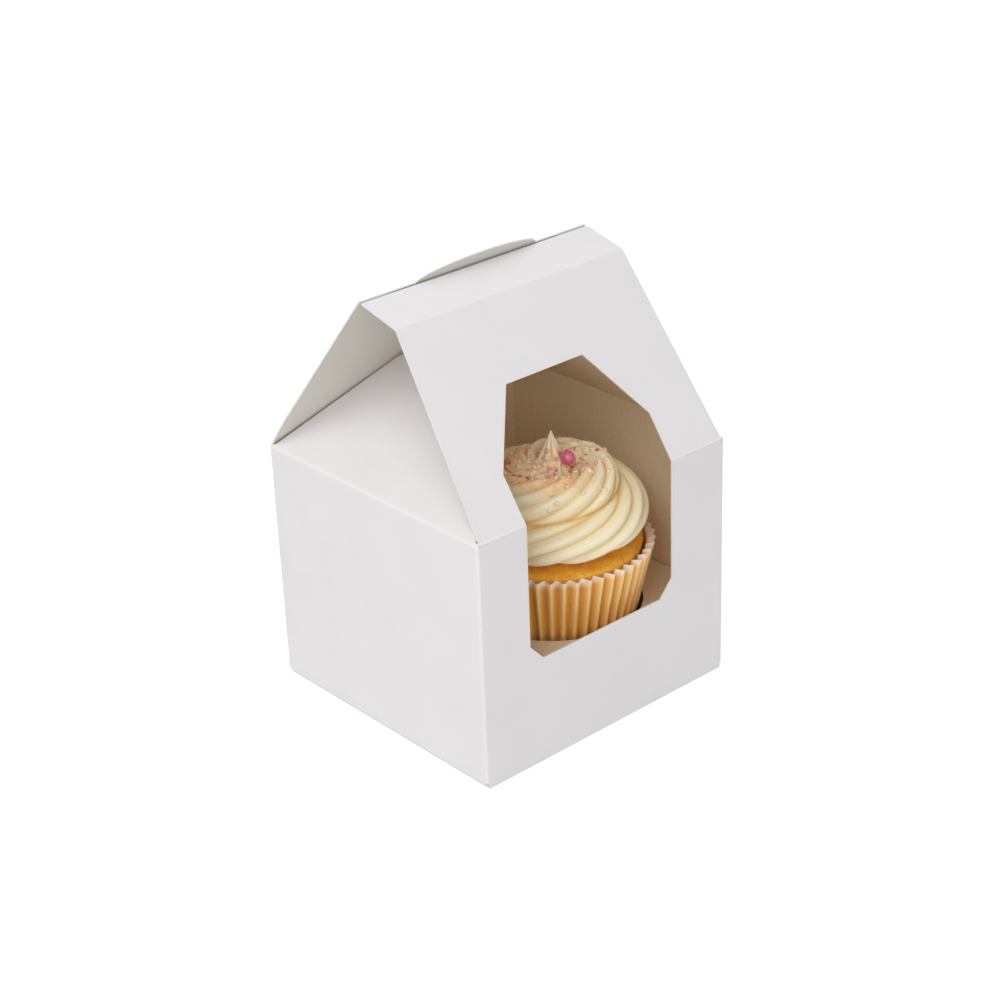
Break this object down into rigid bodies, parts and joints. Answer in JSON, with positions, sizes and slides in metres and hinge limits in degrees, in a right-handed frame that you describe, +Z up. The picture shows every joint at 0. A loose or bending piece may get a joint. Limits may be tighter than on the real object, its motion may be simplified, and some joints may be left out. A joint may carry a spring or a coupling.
{
  "type": "cupcake box",
  "caption": "White folded card carton for a cupcake, with a gable roof, a faceted window cut through the front wall and hinged lid, and a raised insert that steadies the cake.",
  "frame": {"origin": "middle of the carton's footprint, on the surface it stands on", "axes": "+Z up; +X along the window wall, to the right seen from in front of it; +Y from the window wall to the back wall"},
  "size_m": [0.1, 0.096, 0.1411],
  "materials": {
    "carton_board": "satin",
    "insert_board": "matte",
    "cup_paper": "matte",
    "sponge": "matte",
    "frosting": "satin",
    "pearl": "gloss"
  },
  "bodies": {
    "carton": {"carton": "carton_board", "insert": "insert_board", "cup": "cup_paper", "sponge": "sponge", "frosting": "frosting", "pearl": "pearl"},
    "lid": {"lid": "carton_board"}
  },
  "joints": [
    {"name": "lid_crease", "type": "hinge", "parent": "carton", "child": "lid", "pos_m": [0, -0.04775, 0.08], "axis": [1, 0, 0], "range_deg": [0, 105]}
  ]
}
